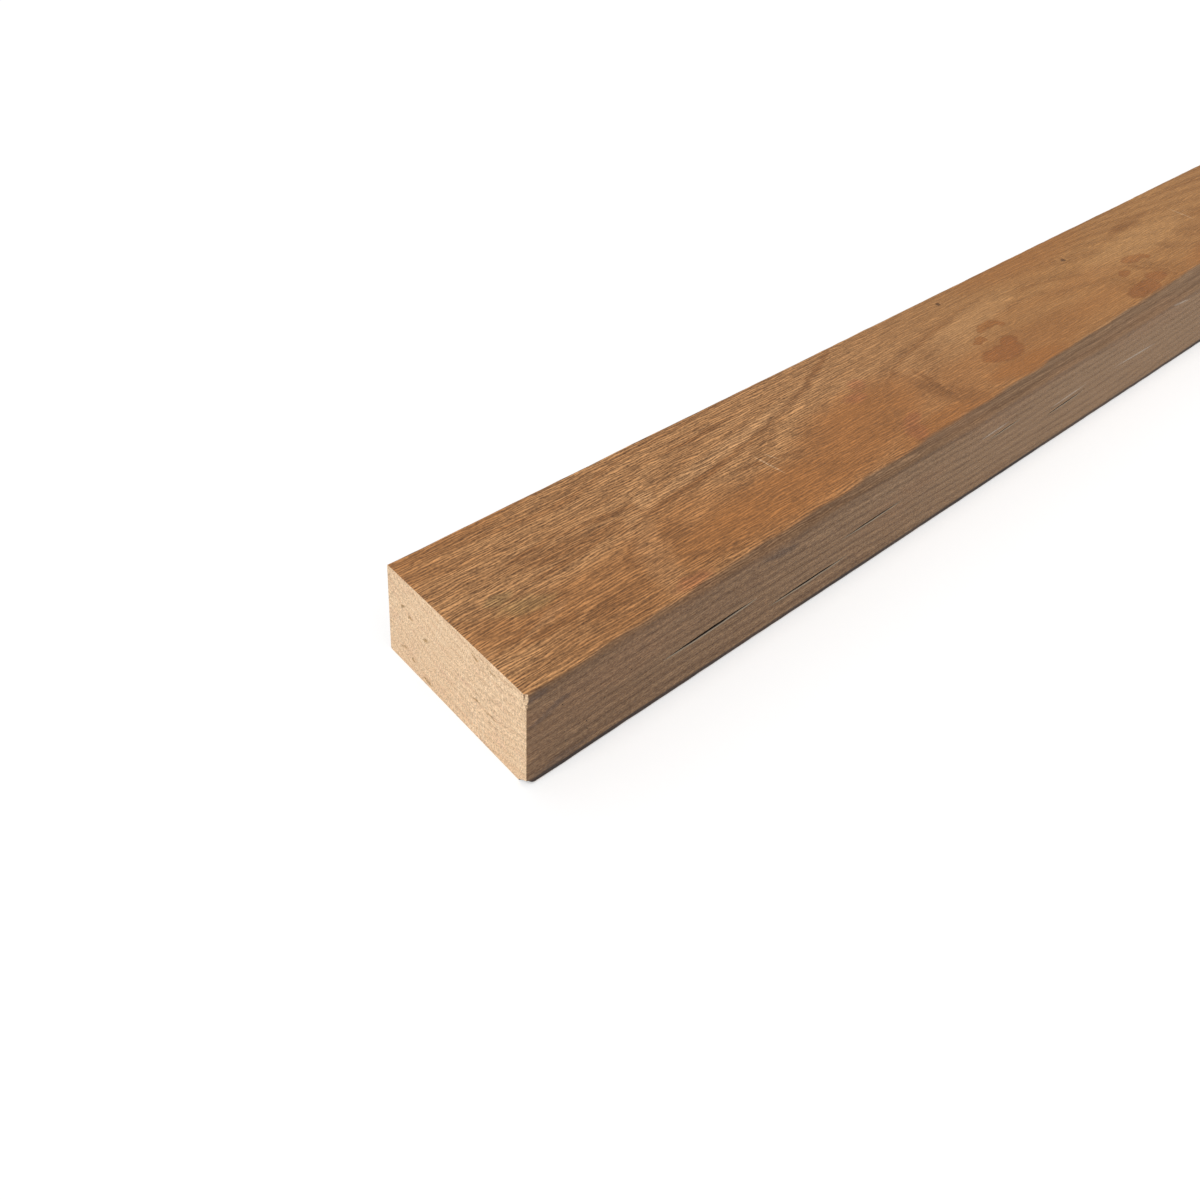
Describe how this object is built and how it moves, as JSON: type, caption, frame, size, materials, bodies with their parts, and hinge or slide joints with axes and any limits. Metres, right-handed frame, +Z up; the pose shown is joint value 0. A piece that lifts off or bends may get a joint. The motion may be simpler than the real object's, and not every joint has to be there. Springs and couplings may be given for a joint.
{
  "type": "sawn oak board",
  "caption": "Sawn oak board lying on its wide face, with soft arrises, drying checks in the narrow faces and slightly off-square ends.",
  "frame": {"origin": "middle of the underside, the wide face the board lies on", "axes": "+X along the grain, towards the end without the knocked-off corners; +Y across the wide face, away from the worn arris; +Z up through the thickness"},
  "size_m": [1.1999, 0.1, 0.05],
  "materials": {
    "oak": "dry, sawn and unfinished, slightly rough"
  },
  "bodies": {
    "root": {"oak_board": "oak"}
  },
  "joints": []
}
